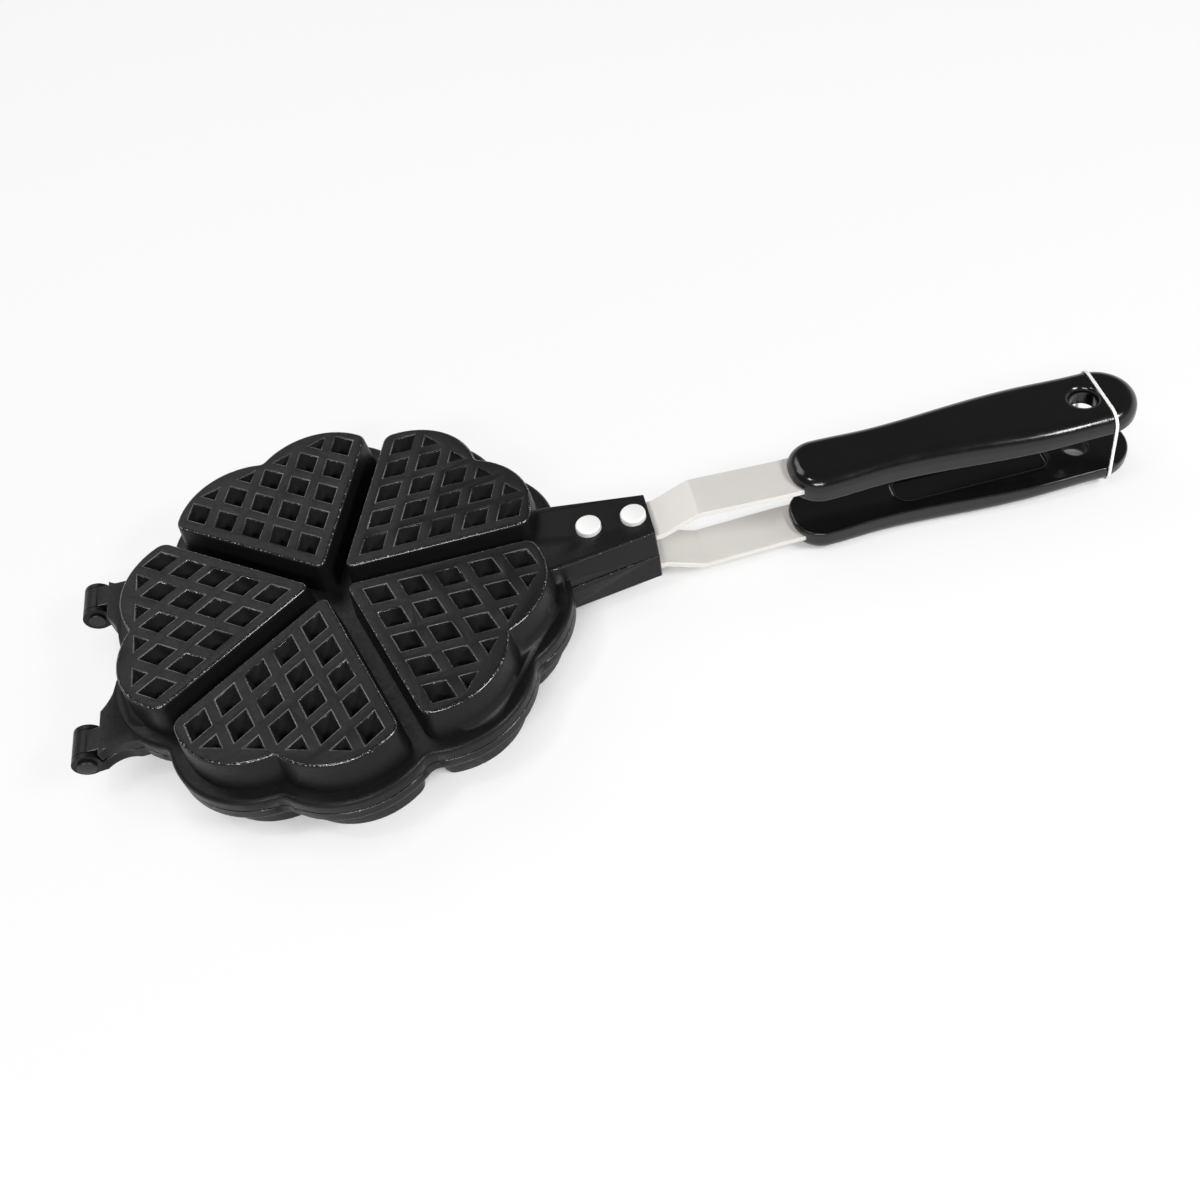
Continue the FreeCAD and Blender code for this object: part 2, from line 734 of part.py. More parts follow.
def grip_half(name):
    """One moulded grip above the iron's middle plane, its flat side towards the other grip."""
    body = doc.addObject("PartDesign::Body", name)
    body.Label = name
    drawn = sketch(body, f"{name}_plan", "XY_Plane", grip_plan(), "sizes.grip_inner")
    add_pad(body, f"{name}_block", drawn, "sizes.closed_depth / 2")

    back = grip_back()
    start, end = back.StartPoint, back.EndPoint
    above = size("closed_depth")
    corners = [end, Vector(end.x, above, 0), Vector(start.x, above, 0), start]
    curves = [back] + [Part.LineSegment(a, b) for a, b in zip(corners, corners[1:])]
    drawn = sketch(body, f"{name}_back_line", "XZ_Plane", curves)
    both_ways(add_pocket(body, f"{name}_back", drawn, "4 * sizes.grip_swell_half"))
    doc.recompute()
    inner, rounding = size("grip_inner"), size("grip_edge_round")
    lowest = min(size("grip_tail_rise"), size("grip_swell_rise")) - size("grip_inner_round")
    round_edges(body, f"{name}_back_edges", "grip_edge_round", lambda e: e.BoundBox.ZMin > lowest)
    round_edges(body, f"{name}_flat_edges", "grip_inner_round", lambda e: at_level(e, inner))

    socket_half = size("bar_thickness") / 2 + size("bar_slack")
    socket_start = size("grip_front") - size("bar_tang_out")
    socket_end = size("grip_front") + size("bar_in_grip") + size("bar_slack")
    low, high = size("bar_tang_rise") - socket_half, size("bar_tang_rise") + socket_half
    socket = [
        Vector(socket_start, low, 0),
        Vector(socket_end, low, 0),
        Vector(socket_end, high, 0),
        Vector(socket_start, high, 0),
    ]
    drawn = sketch(body, f"{name}_socket_side", "XZ_Plane", closed_lines(socket))
    both_ways(add_pocket(body, f"{name}_socket", drawn, "sizes.bar_width + 2 * sizes.bar_slack"))

    hole_place = grip_tail - size("hole_from_tail")
    ring = [circle_at(hole_place, 0, size("hole_radius"))]
    drawn = sketch(body, f"{name}_hole_ring", "XY_Plane", ring, "sizes.closed_depth")
    add_pocket(body, f"{name}_hole", drawn, "sizes.closed_depth")

    def round_inner_rim(edge):
        across = abs(edge.BoundBox.YLength - 2 * size("hole_radius")) < same_place
        return across and at_level(edge, inner)

    round_edges(body, f"{name}_hole_inner_rim", "hole_inner_round", round_inner_rim)
    drawn = sketch(body, f"{name}_hole_mouth_side", "XZ_Plane", hole_mouth(grip_rise_at(hole_place)))
    drawn.AttachmentOffset = Placement(Vector(hole_place, 0, 0), Rotation())
    mouth = body.newObject("PartDesign::Groove", f"{name}_hole_mouth")
    mouth.Profile = drawn
    mouth.ReferenceAxis = (drawn, ["V_Axis"])
    mouth.Angle = 360

    half_length, half, corner = size("panel_length") / 2, size("panel_half"), size("panel_round")
    panel_middle = size("grip_front") + size("panel_along") + half_length
    lip = size("panel_lip")
    curves = rounded_box(panel_middle, half_length, half, corner)
    outline = rounded_box(panel_middle, half_length + lip, half + lip, corner + lip)
    lip_level = "sizes.grip_inner - sizes.panel_lip_rise"
    drawn = sketch(body, f"{name}_lip_plan", "XY_Plane", outline + curves, lip_level)
    add_pad(body, f"{name}_lip", drawn, "2 * sizes.panel_lip_rise")
    drawn = sketch(body, f"{name}_panel_plan", "XY_Plane", curves, "sizes.grip_inner")
    panel = add_pocket(body, f"{name}_panel", drawn, "sizes.panel_depth")
    panel.Reversed = True
    doc.recompute()
    return body


def elastic_band(name):
    """A thin flat band round both grips, near their tail, about the iron's middle plane."""
    body = doc.addObject("PartDesign::Body", name)
    body.Label = name
    place = grip_tail - size("band_from_tail")
    tail_radius = size("grip_tail_round")
    from_centre = place - (grip_tail - tail_radius)
    half_width = math.sqrt(tail_radius ** 2 - from_centre ** 2) + size("band_slack")
    half_height = grip_rise_at(place) + size("band_slack")
    curves = []
    for grow in (0, size("band_thickness")):
        corner = size("grip_edge_round") + size("band_slack") + grow
        curves += rounded_box(0, half_width + grow, half_height + grow, corner)
    drawn = sketch(body, f"{name}_loop", "YZ_Plane", curves)
    drawn.AttachmentOffset = Placement(Vector(0, 0, place), Rotation())
    both_ways(add_pad(body, f"{name}_strip", drawn, "sizes.band_width"))
    doc.recompute()
    return body


upright = Rotation()
flipped = Rotation(Vector(1, 0, 0), 180)
whole_depth = Vector(0, 0, size("closed_depth"))
middle_plane = Vector(0, 0, middle)

blanks = [cast_blank("lower_plate", True), cast_blank("upper_plate", False)]
nodes = []
for side, turn, outward in (("lower", flipped, -1), ("upper", upright, 1)):
    bar = flat_bar(f"{side}_bar")
    grip = grip_half(f"{side}_grip")
    bar.Placement = Placement(middle_plane, turn)
    grip.Placement = Placement(middle_plane, turn)
    nodes += [bar, grip]
    for place, x in zip(("plate_side", "handle_side"), rivet_places()):
        rivet = neck_rivet(f"{side}_{place}_rivet")
        rivet.Placement = Placement(Vector(x, 0, middle + outward * size("neck_rise")), turn)
        nodes.append(rivet)

pin_reach = size("lug_aside") + size("lug_width") / 2 + size("knuckle_gap")
for side, sign in (("left", 1), ("right", -1)):
    pin = hinge_pin(f"{side}_hinge_pin")
    lying = Rotation(Vector(1, 0, 0), -sign * 90)
    pin.Placement = Placement(Vector(-size("hinge_out"), sign * pin_reach, middle), lying)
    nodes.append(pin)

band = elastic_band("elastic_band")
band.Placement = Placement(middle_plane, upright)
nodes.append(band)

pits = lattice_blocks("pits", size("pit_side"), size("pit_reach"), size("pit_depth"), size("pit_draft"), 0)
studs = lattice_blocks(
    "studs",
    size("stud_side"),
    size("stud_reach"),
    size("stud_rise"),
    size("stud_draft"),
    size("floor_thickness"),
)
plates = [casting(f"{side}_plate", blank, pits, studs) for side, blank in zip(("lower", "upper"), blanks)]
plates[1].Placement = Placement(whole_depth, flipped)
nodes += plates

doc.recompute()
for item in doc.Objects:
    if "Invalid" in item.State or "Error" in item.State:
        raise RuntimeError(f"{item.Label} did not build: {item.State}")
for node in nodes:
    if node.Shape.isNull() or not node.Shape.isValid():
        raise RuntimeError(f"{node.Label} has no valid shape")

os.makedirs("parts", exist_ok=True)
for node in nodes:
    node.Shape.exportStep(f"parts/{node.Label}.step")
    box = node.Shape.BoundBox
    print(node.Label, len(node.Shape.Solids), "solid", round(node.Shape.Volume), "cubic mm", box)
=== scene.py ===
import math

import bmesh
import bpy
import numpy as np
from mathutils import Matrix, Vector


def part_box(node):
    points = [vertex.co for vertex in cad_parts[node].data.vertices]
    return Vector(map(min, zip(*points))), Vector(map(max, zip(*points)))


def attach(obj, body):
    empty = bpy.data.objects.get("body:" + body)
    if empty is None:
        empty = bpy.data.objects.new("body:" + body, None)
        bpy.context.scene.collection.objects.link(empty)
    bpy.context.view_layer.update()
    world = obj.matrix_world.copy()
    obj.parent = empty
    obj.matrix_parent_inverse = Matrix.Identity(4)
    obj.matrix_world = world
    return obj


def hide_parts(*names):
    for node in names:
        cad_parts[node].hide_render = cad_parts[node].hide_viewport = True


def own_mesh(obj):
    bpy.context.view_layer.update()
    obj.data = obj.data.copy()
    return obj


# Stovetop waffle iron, closed, lying on its lower half. Lengths are in metres.
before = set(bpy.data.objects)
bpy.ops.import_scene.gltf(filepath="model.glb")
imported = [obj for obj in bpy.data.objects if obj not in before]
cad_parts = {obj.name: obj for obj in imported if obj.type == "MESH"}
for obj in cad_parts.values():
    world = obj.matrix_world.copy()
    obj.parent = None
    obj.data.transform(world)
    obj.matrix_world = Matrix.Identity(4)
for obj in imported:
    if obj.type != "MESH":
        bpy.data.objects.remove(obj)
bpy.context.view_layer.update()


# Cast halves
# Two aluminium castings with five heart-shaped wells each, pitted outside, from the CAD meshes.
# They hinge at their lugs, and their black non-stick coat has worn thin along crisp edges. Pale
# specks along these edges and on the hearts' shoulders are partly that worn coat and partly
# painted highlight.
EDGE_BREAK = 0.00036
EDGE_STEPS = 2
SHORTEST_EDGE = 0.0012
WELD = 2e-6
FLAT_ANGLE = math.radians(0.4)
CRISP_ANGLE = math.radians(38)
# Faces near the outer plane that slant like the hearts' rounded shoulders get pale specks: partly
# worn coat, partly painted highlight.
SHOULDER_BAND = 0.0014
SHOULDER_TILT, SHOULDER_SPREAD = 0.78, 0.2
SHOULDER_WORN_AND_HIGHLIGHT, LEAST_WORN_AND_HIGHLIGHT = 0.25, 0.05
PIT_DEPTH = 0.006
PIT_WALL_TILT = math.sin(math.radians(14))
LEVEL_TILT, TILT_SLACK, DEPTH_SLACK = 0.99, 0.01, 0.00005
COAT, WORN_AND_HIGHLIGHT_COAT, PIT_COAT = range(3)
# The coat's own black, and the pale grey of the specks: bare metal where the coat is worn, and
# partly a painted highlight on edges.
COAT_BLACK, BARE_METAL_AND_HIGHLIGHT = (0.006, 0.006, 0.0063, 1), (0.55, 0.55, 0.54, 1)
WORN_AND_HIGHLIGHT_WEIGHT, SPECKS_FROM, SPECKS_TO = 0.42, 0.72, 0.86
PATCHES_FROM, PATCHES_TO = 0.3, 0.7
closed_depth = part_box("upper_plate")[1][2]


def joined_copy(cad_node, name):
    """A new piece with a CAD node's mesh: loose triangles joined at their corners, and flat
    neighbours merged into whole faces."""
    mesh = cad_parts[cad_node].data.copy()
    mesh.name = name
    mesh.materials.clear()
    work = bmesh.new()
    work.from_mesh(mesh)
    bmesh.ops.remove_doubles(work, verts=work.verts, dist=WELD)
    bmesh.ops.dissolve_limit(work, angle_limit=FLAT_ANGLE, verts=work.verts, edges=work.edges)
    work.to_mesh(mesh)
    work.free()
    mesh.shade_smooth()
    mesh.set_sharp_from_angle(angle=CRISP_ANGLE)
    piece = bpy.data.objects.new(name, mesh)
    bpy.context.scene.collection.objects.link(piece)
    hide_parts(cad_node)
    return piece


def node(tree, kind, inputs=None, **settings):
    """A shader node with its settings and plain input values set."""
    made = tree.nodes.new(kind)
    for key, value in settings.items():
        setattr(made, key, value)
    for key, value in (inputs or {}).items():
        made.inputs[key].default_value = value
    return made


def new_material(name, **shader):
    """A material with a Principled shader whose plain values are given by socket name."""
    made = bpy.data.materials.new(name)
    made.use_nodes = True
    principled = made.node_tree.nodes["Principled BSDF"]
    for key, value in shader.items():
        principled.inputs[key.replace("_", " ")].default_value = value
    return made, made.node_tree, principled


def grain_group():
    """Cast or moulded grain: two sizes of noise, added, raise the surface, and the coarse one
    also gives a soft mask of slightly glossier patches."""
    tree = bpy.data.node_groups.new("surface grain", "ShaderNodeTree")
    sockets = tree.interface
    for value in ("Fine Scale", "Coarse Scale", "Depth"):
        sockets.new_socket(value, in_out="INPUT", socket_type="NodeSocketFloat")
    sockets.new_socket("Normal", in_out="OUTPUT", socket_type="NodeSocketVector")
    sockets.new_socket("Patches", in_out="OUTPUT", socket_type="NodeSocketFloat")
    given = tree.nodes.new("NodeGroupInput")
    result = tree.nodes.new("NodeGroupOutput")
    place = node(tree, "ShaderNodeTexCoord")
    fine = node(tree, "ShaderNodeTexNoise", {"Detail": 3.0, "Roughness": 0.6})
    coarse = node(tree, "ShaderNodeTexNoise", {"Detail": 2.0, "Roughness": 0.5})
    both = node(tree, "ShaderNodeMath", operation="ADD")
    bump = node(tree, "ShaderNodeBump", {"Strength": 0.6})
    tree.links.new(place.outputs["Object"], fine.inputs["Vector"])
    tree.links.new(place.outputs["Object"], coarse.inputs["Vector"])
    tree.links.new(given.outputs["Fine Scale"], fine.inputs["Scale"])
    tree.links.new(given.outputs["Coarse Scale"], coarse.inputs["Scale"])
    tree.links.new(fine.outputs["Fac"], both.inputs[0])
    tree.links.new(coarse.outputs["Fac"], both.inputs[1])
    tree.links.new(both.outputs[0], bump.inputs["Height"])
    tree.links.new(given.outputs["Depth"], bump.inputs["Distance"])
    tree.links.new(bump.outputs["Normal"], result.inputs["Normal"])
    tree.links.new(coarse.outputs["Fac"], result.inputs["Patches"])
    return tree


surface_grain = grain_group()


def add_grain(tree, principled, fine, coarse, depth):
    """Feeds a shader's normal from the grain group and returns the group's node."""
    grain = node(tree, "ShaderNodeGroup", node_tree=surface_grain)
    grain.inputs["Fine Scale"].default_value = fine
    grain.inputs["Coarse Scale"].default_value = coarse
    grain.inputs["Depth"].default_value = depth
    tree.links.new(grain.outputs["Normal"], principled.inputs["Normal"])
    return grain


def vary_gloss(tree, principled, grain, smoothest, roughest):
    """Feeds a shader's roughness from the grain's patches, between two limits."""
    gloss = node(tree, "ShaderNodeMapRange", {"From Min": PATCHES_FROM, "From Max": PATCHES_TO})
    gloss.inputs["To Min"].default_value = smoothest
    gloss.inputs["To Max"].default_value = roughest
    tree.links.new(grain.outputs["Patches"], gloss.inputs["Value"])
    tree.links.new(gloss.outputs["Result"], principled.inputs["Roughness"])


def coat_material(name, worn_and_highlight, smoothest, roughest, shine, bumps):
    """The non-stick coat: satin black with a cast grain. Pale specks show where noise plus a
    weight times the sum of the given share and the face attribute passes a level; they are partly
    bare metal where the coat is worn and partly a painted highlight along edges."""
    made, tree, principled = new_material(name, Specular_IOR_Level=shine)
    grain = add_grain(tree, principled, fine=2600.0, coarse=700.0, depth=bumps)
    vary_gloss(tree, principled, grain, smoothest, roughest)
    place = node(tree, "ShaderNodeTexCoord")
    specks = node(tree, "ShaderNodeTexNoise", {"Scale": 1500.0, "Detail": 4.0, "Roughness": 0.7})
    worn_and_highlight_attribute = node(tree, "ShaderNodeAttribute", attribute_name="worn_and_highlight_share")
    lift = node(tree, "ShaderNodeMath", {1: worn_and_highlight}, operation="ADD")
    level = node(tree, "ShaderNodeMath", {1: WORN_AND_HIGHLIGHT_WEIGHT}, operation="MULTIPLY")
    sum_up = node(tree, "ShaderNodeMath", operation="ADD")
    cut = node(tree, "ShaderNodeMapRange", {"From Min": SPECKS_FROM, "From Max": SPECKS_TO})
    tint = node(tree, "ShaderNodeMix", data_type="RGBA")
    tint.inputs["A"].default_value = COAT_BLACK
    tint.inputs["B"].default_value = BARE_METAL_AND_HIGHLIGHT
    tree.links.new(place.outputs["Object"], specks.inputs["Vector"])
    tree.links.new(worn_and_highlight_attribute.outputs["Fac"], lift.inputs[0])
    tree.links.new(lift.outputs[0], level.inputs[0])
    tree.links.new(level.outputs[0], sum_up.inputs[0])
    tree.links.new(specks.outputs["Fac"], sum_up.inputs[1])
    tree.links.new(sum_up.outputs[0], cut.inputs["Value"])
    tree.links.new(cut.outputs["Result"], tint.inputs["Factor"])
    tree.links.new(tint.outputs["Result"], principled.inputs["Base Color"])
    return made


def mark_surfaces(piece, outer):
    """Sorts the faces by depth below the outer plane and by tilt, the upright part of the normal.
    A face attribute rises to a set share where a face slants close to the outer plane, as on the
    hearts' rounded shoulders, which get the coat with pale specks and more gloss; the specks are
    partly worn coat and partly painted highlight. Floors at the pits' depth and walls with the
    pits' draft get the coat in the pits."""
    faces = piece.data.polygons
    normals, middles = np.empty(len(faces) * 3), np.empty(len(faces) * 3)
    faces.foreach_get("normal", normals)
    faces.foreach_get("center", middles)
    tilt = np.abs(normals.reshape(-1, 3)[:, 2])
    depth = np.abs(middles.reshape(-1, 3)[:, 2] - outer)
    slant = np.clip(1 - np.abs(tilt - SHOULDER_TILT) / SHOULDER_SPREAD, 0, 1)
    worn_and_highlight = slant * np.clip(1 - depth / SHOULDER_BAND, 0, 1)
    worn_and_highlight_share = piece.data.attributes.new("worn_and_highlight_share", "FLOAT", "FACE")
    worn_and_highlight_share.data.foreach_set("value", (SHOULDER_WORN_AND_HIGHLIGHT * worn_and_highlight).astype(np.float32))
    floors = (tilt > LEVEL_TILT) & (np.abs(depth - PIT_DEPTH) < DEPTH_SLACK)
    walls = (np.abs(tilt - PIT_WALL_TILT) < TILT_SLACK) & (depth < PIT_DEPTH)
    kind = np.where(floors | walls, PIT_COAT, np.where(worn_and_highlight > LEAST_WORN_AND_HIGHLIGHT, WORN_AND_HIGHLIGHT_COAT, COAT))
    faces.foreach_set("material_index", kind.astype(np.int32))


def weigh_edges(piece):
    """Marks the edges for the bevel: crisp, convex, longer than SHORTEST_EDGE, and with no edge
    under two bevel widths at either end."""
    work = bmesh.new()
    work.from_mesh(piece.data)
    weight = work.edges.layers.float.new("bevel_weight_edge")
    for edge in work.edges:
        paired = len(edge.link_faces) == 2
        crisp = paired and edge.is_convex and edge.calc_face_angle() > CRISP_ANGLE
        if crisp and edge.calc_length() > SHORTEST_EDGE:
            around = [other.calc_length() for corner in edge.verts for other in corner.link_edges]
            edge[weight] = float(min(around) > 2 * EDGE_BREAK)
    work.to_mesh(piece.data)
    work.free()


def break_edges(piece, width, picked_by):
    """Adds a narrow rounded bevel on the edges that a weight or an angle picks."""
    edges = piece.modifiers.new("edge break", "BEVEL")
    edges.width = width
    edges.segments = EDGE_STEPS
    edges.limit_method = picked_by
    edges.use_clamp_overlap = False
    edges.harden_normals = True
    return edges


coats = (
    coat_material(
        "non-stick coat", worn_and_highlight=0.0, smoothest=0.34, roughest=0.44, shine=0.2, bumps=0.00008
    ),
    # Coat for edges and shoulders, with pale specks that are partly worn coat and partly painted
    # highlight.
    coat_material(
        "rubbed edge coat", worn_and_highlight=0.27, smoothest=0.16, roughest=0.26, shine=0.7, bumps=0.00003
    ),
    coat_material(
        "coat in the pits", worn_and_highlight=0.0, smoothest=0.6, roughest=0.7, shine=0.1, bumps=0.00005
    ),
)
for side, body, outer in (("lower", "lower_half", 0.0), ("upper", "upper_half", closed_depth)):
    casting = joined_copy(f"{side}_plate", f"{side}_casting")
    mark_surfaces(casting, outer)
    weigh_edges(casting)
    for material in coats:
        casting.data.materials.append(material)
    # The bevel faces get the coat with pale specks: partly worn coat, partly painted highlight
    # along the edges.
    break_edges(casting, EDGE_BREAK, "WEIGHT").material = WORN_AND_HIGHLIGHT_COAT
    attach(casting, body)


# Handle bars
# Two flat steel strips, each riveted into a casting's neck, joggled outwards and tucked into its
# grip. Satin finish with fine lengthwise brushing.
BAR_EDGE_BREAK = 0.0002
BRUSHING = (60, 2400, 2400)
STEEL_DARK, STEEL_LIGHT = (0.69, 0.665, 0.63, 1), (0.76, 0.735, 0.7, 1)


def brushed_steel():
    """Warm satin steel: noise stretched along the bar varies the gloss and raises fine lines."""
    made, tree, principled = new_material("brushed bar steel", Metallic=0.3)
    place = node(tree, "ShaderNodeTexCoord")
    stretch = node(tree, "ShaderNodeMapping")
    stretch.inputs["Scale"].default_value = BRUSHING
    lines = node(tree, "ShaderNodeTexNoise", {"Scale": 1.0, "Detail": 3.0})
    cloud = node(tree, "ShaderNodeTexNoise", {"Scale": 90.0, "Detail": 4.0})
    gloss = node(tree, "ShaderNodeMapRange", {"To Min": 0.44, "To Max": 0.56})
    bump = node(tree, "ShaderNodeBump", {"Strength": 0.2, "Distance": 0.00003})
    tint = node(tree, "ShaderNodeMix", data_type="RGBA")
    tint.inputs["A"].default_value = STEEL_DARK
    tint.inputs["B"].default_value = STEEL_LIGHT
    tree.links.new(place.outputs["Object"], stretch.inputs["Vector"])
    tree.links.new(stretch.outputs["Vector"], lines.inputs["Vector"])
    tree.links.new(place.outputs["Object"], cloud.inputs["Vector"])
    tree.links.new(lines.outputs["Fac"], gloss.inputs["Value"])
    tree.links.new(gloss.outputs["Result"], principled.inputs["Roughness"])
    tree.links.new(lines.outputs["Fac"], bump.inputs["Height"])
    tree.links.new(bump.outputs["Normal"], principled.inputs["Normal"])
    tree.links.new(cloud.outputs["Fac"], tint.inputs["Factor"])
    tree.links.new(tint.outputs["Result"], principled.inputs["Base Color"])
    return made


bar_steel = brushed_steel()
for side, body in (("lower", "lower_half"), ("upper", "upper_half")):
    bar = joined_copy(f"{side}_bar", f"{side}_strip")
    bar.data.materials.append(bar_steel)
    break_edges(bar, BAR_EDGE_BREAK, "ANGLE").angle_limit = CRISP_ANGLE
    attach(bar, body)


# Neck rivets
# Four aluminium rivets: flat heads with a rounded edge outside, flat formed tails on the bar
# inside. Pressed from soft wire, so the heads are matt with small dents.
RIVET_HEAD, RIVET_SHANK, RIVET_TAIL = 0.0044, 0.0025, 0.004
RIVET_RISE, RIVET_TAIL_RISE, RIVET_ROUND = 0.0024, 0.0014, 0.0007
RIVET_CROWN = 0.0002
STEPS_ROUND, TOP_STEPS, TURN_POINTS = 64, 8, 7


def grid_piece(name, spots, ring_of_rows):
    """A piece from a grid of points: each row is a closed loop and neighbouring rows are joined
    by quads, the last row to the first too where the rows form a ring. Points that meet at a pole
    are joined."""
    rows, columns = spots.shape[:2]
    row = np.arange(rows if ring_of_rows else rows - 1)[:, None]
    column = np.arange(columns)[None, :]
    next_row, next_column = (row + 1) % rows, (column + 1) % columns
    corners = (
        row * columns + column,
        next_row * columns + column,
        next_row * columns + next_column,
        row * columns + next_column,
    )
    faces = np.stack(corners, axis=-1).reshape(-1, 4)
    mesh = bpy.data.meshes.new(name)
    mesh.from_pydata(spots.reshape(-1, 3).tolist(), [], faces.tolist())
    work = bmesh.new()
    work.from_mesh(mesh)
    bmesh.ops.remove_doubles(work, verts=work.verts, dist=WELD)
    bmesh.ops.recalc_face_normals(work, faces=work.faces)
    work.to_mesh(mesh)
    work.free()
    mesh.shade_smooth()
    mesh.set_sharp_from_angle(angle=CRISP_ANGLE)
    piece = bpy.data.objects.new(name, mesh)
    bpy.context.scene.collection.objects.link(piece)
    return piece


def turned_piece(name, profile, place):
    """A surface of revolution: each profile point, given as a radius and a height, is carried
    round the axis in equal steps, and place maps local x, y and z to the frame."""
    radius, height = np.asarray(profile, float).T
    angle = np.linspace(0, 2 * math.pi, STEPS_ROUND, endpoint=False)
    level = np.broadcast_to(height[:, None], (len(radius), STEPS_ROUND))
    x, y = radius[:, None] * np.cos(angle), radius[:, None] * np.sin(angle)
    rings = np.stack([x, y, level], axis=-1)
    matrix = np.array(place)
    return grid_piece(name, rings @ matrix[:3, :3].T + matrix[:3, 3], False)


def head_profile(head, rise, rounding, crown):
    """A flat head from its middle on the axis to its foot: the top falls by the crown with the
    square of the radius, then a quarter turn leads into the straight side."""
    inner = head - rounding
    out = np.linspace(0, inner, TOP_STEPS)
    top = [(r, rise - crown * (r / inner) ** 2) for r in out]
    turn = np.linspace(math.pi / 2, 0, TURN_POINTS)[1:]
    drop = rise - crown - rounding
    edge = [(inner + rounding * math.cos(a), drop + rounding * math.sin(a)) for a in turn]
    return top + edge + [(head, 0)]


def rivet_material():
    """Bright soft aluminium with small dents from the rivet set."""
    made, tree, principled = new_material(
        "rivet aluminium", Base_Color=(0.96, 0.96, 0.94, 1), Metallic=0.35, Roughness=0.5
    )
    add_grain(tree, principled, fine=1800.0, coarse=500.0, depth=0.00006)
    return made


rivet_metal = rivet_material()
for side, body, up in (("lower", "lower_half", -1), ("upper", "upper_half", 1)):
    for spot in ("plate_side", "handle_side"):
        low, high = (Vector(corner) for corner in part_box(f"{side}_{spot}_rivet"))
        outer = high.z if up > 0 else low.z
        seat = Vector(((low.x + high.x) / 2, 0, outer - up * RIVET_RISE))
        shank = (high.z - low.z) - RIVET_RISE - RIVET_TAIL_RISE
        profile = head_profile(RIVET_HEAD, RIVET_RISE, RIVET_ROUND, RIVET_CROWN) + [
            (RIVET_SHANK, 0),
            (RIVET_SHANK, -shank),
            (RIVET_TAIL, -shank),
            (RIVET_TAIL, -shank - RIVET_TAIL_RISE + RIVET_CROWN),
            (RIVET_TAIL - RIVET_CROWN, -shank - RIVET_TAIL_RISE),
            (0, -shank - RIVET_TAIL_RISE),
        ]
        turn = Matrix.Identity(4) if up > 0 else Matrix.Rotation(math.pi, 4, "X")
        rivet = turned_piece(f"{side}_{spot}_rivet_head", profile, Matrix.Translation(seat) @ turn)
        rivet.data.materials.append(rivet_metal)
        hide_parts(f"{side}_{spot}_rivet")
        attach(rivet, body)


# Hinge pins
# Two dark steel pins through the lugs, with a rounded head at their outer end and a peened one
# inside, coated together with the castings.
PIN_HEAD, PIN_SHANK, PIN_TAIL = 0.0031, 0.0019, 0.0028
PIN_RISE, PIN_TAIL_RISE = 0.0013, 0.00065


def pin_material():
    """Steel under the same dark coat as the castings, worn a little brighter."""
    made, tree, principled = new_material(
        "coated pin steel", Base_Color=(0.03, 0.03, 0.031, 1), Metallic=0.6, Roughness=0.4
    )
    add_grain(tree, principled, fine=2200.0, coarse=600.0, depth=0.00006)
    return made


pin_metal = pin_material()
for name, outward in (("left_hinge_pin", 1), ("right_hinge_pin", -1)):
    low, high = (Vector(corner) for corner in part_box(name))
    length = (high.y - low.y) - PIN_RISE - PIN_TAIL_RISE
    outer = high.y if outward > 0 else low.y
    seat = Vector(((low.x + high.x) / 2, outer - outward * PIN_RISE, (low.z + high.z) / 2))
    profile = head_profile(PIN_HEAD, PIN_RISE, PIN_RISE / 2, RIVET_CROWN) + [
        (PIN_SHANK, 0),
        (PIN_SHANK, -length),
        (PIN_TAIL, -length),
        (PIN_TAIL, -length - PIN_TAIL_RISE + RIVET_CROWN),
        (PIN_TAIL - RIVET_CROWN, -length - PIN_TAIL_RISE),
        (0, -length - PIN_TAIL_RISE),
    ]
    turn = Matrix.Rotation(-outward * math.pi / 2, 4, "X")
    pin = turned_piece(f"{name}_turned", profile, Matrix.Translation(seat) @ turn)
    pin.data.materials.append(pin_metal)
    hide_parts(name)
    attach(pin, "lower_half")


# Grips
# Two glossy black phenolic mouldings, moulded on the bars' ends: flat inside and rounded
# outside, with a hanging hole and a shallow panel with a raised lip in the flat side.
GRIP_VOXEL = 0.00036
GRIP_SMOOTHING, SMOOTHING_SHARE = 4, 0.5


def grip_plastic():
    """Polished black phenolic with a faint orange peel."""
    made, tree, principled = new_material(
        "black phenolic", Base_Color=(0.004, 0.004, 0.0043, 1), Specular_IOR_Level=0.5
    )
    grain = add_grain(tree, principled, fine=900.0, coarse=160.0, depth=0.00004)
    vary_gloss(tree, principled, grain, smoothest=0.12, roughest=0.22)
    return made


def finished_mesh(piece):
    """Replaces a piece's mesh by the result of its modifiers."""
    bpy.context.view_layer.update()
    shown = piece.evaluated_get(bpy.context.evaluated_depsgraph_get())
    result = bpy.data.meshes.new_from_object(shown)
    piece.modifiers.clear()
    piece.data = result


phenolic = grip_plastic()
for side, body in (("lower", "lower_half"), ("upper", "upper_half")):
    grip = joined_copy(f"{side}_grip", f"{side}_moulded_grip")
    remesh = grip.modifiers.new("even surface", "REMESH")
    remesh.mode = "VOXEL"
    remesh.voxel_size = GRIP_VOXEL
    smooth = grip.modifiers.new("polish", "SMOOTH")
    smooth.factor = SMOOTHING_SHARE
    smooth.iterations = GRIP_SMOOTHING
    finished_mesh(grip)
    grip.data.materials.clear()
    grip.data.materials.append(phenolic)
    grip.data.shade_smooth()
    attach(grip, body)


# Elastic band
# A thin flat white rubber band that holds both grips together near their tail.
BAND_CORNER = 0.0052
BAND_THICKNESS = 0.45
BAND_SQUARENESS = 0.4
BAND_LEAN = 0.0005
TURN_STEPS, SECTION_STEPS = 13, 16


def squared(wave):
    """A wave between -1 and 1 with its size raised to a power below 1, so that it stays long
    near its ends and an oval drawn with it has nearly flat sides."""
    return np.sign(wave) * np.abs(wave) ** BAND_SQUARENESS


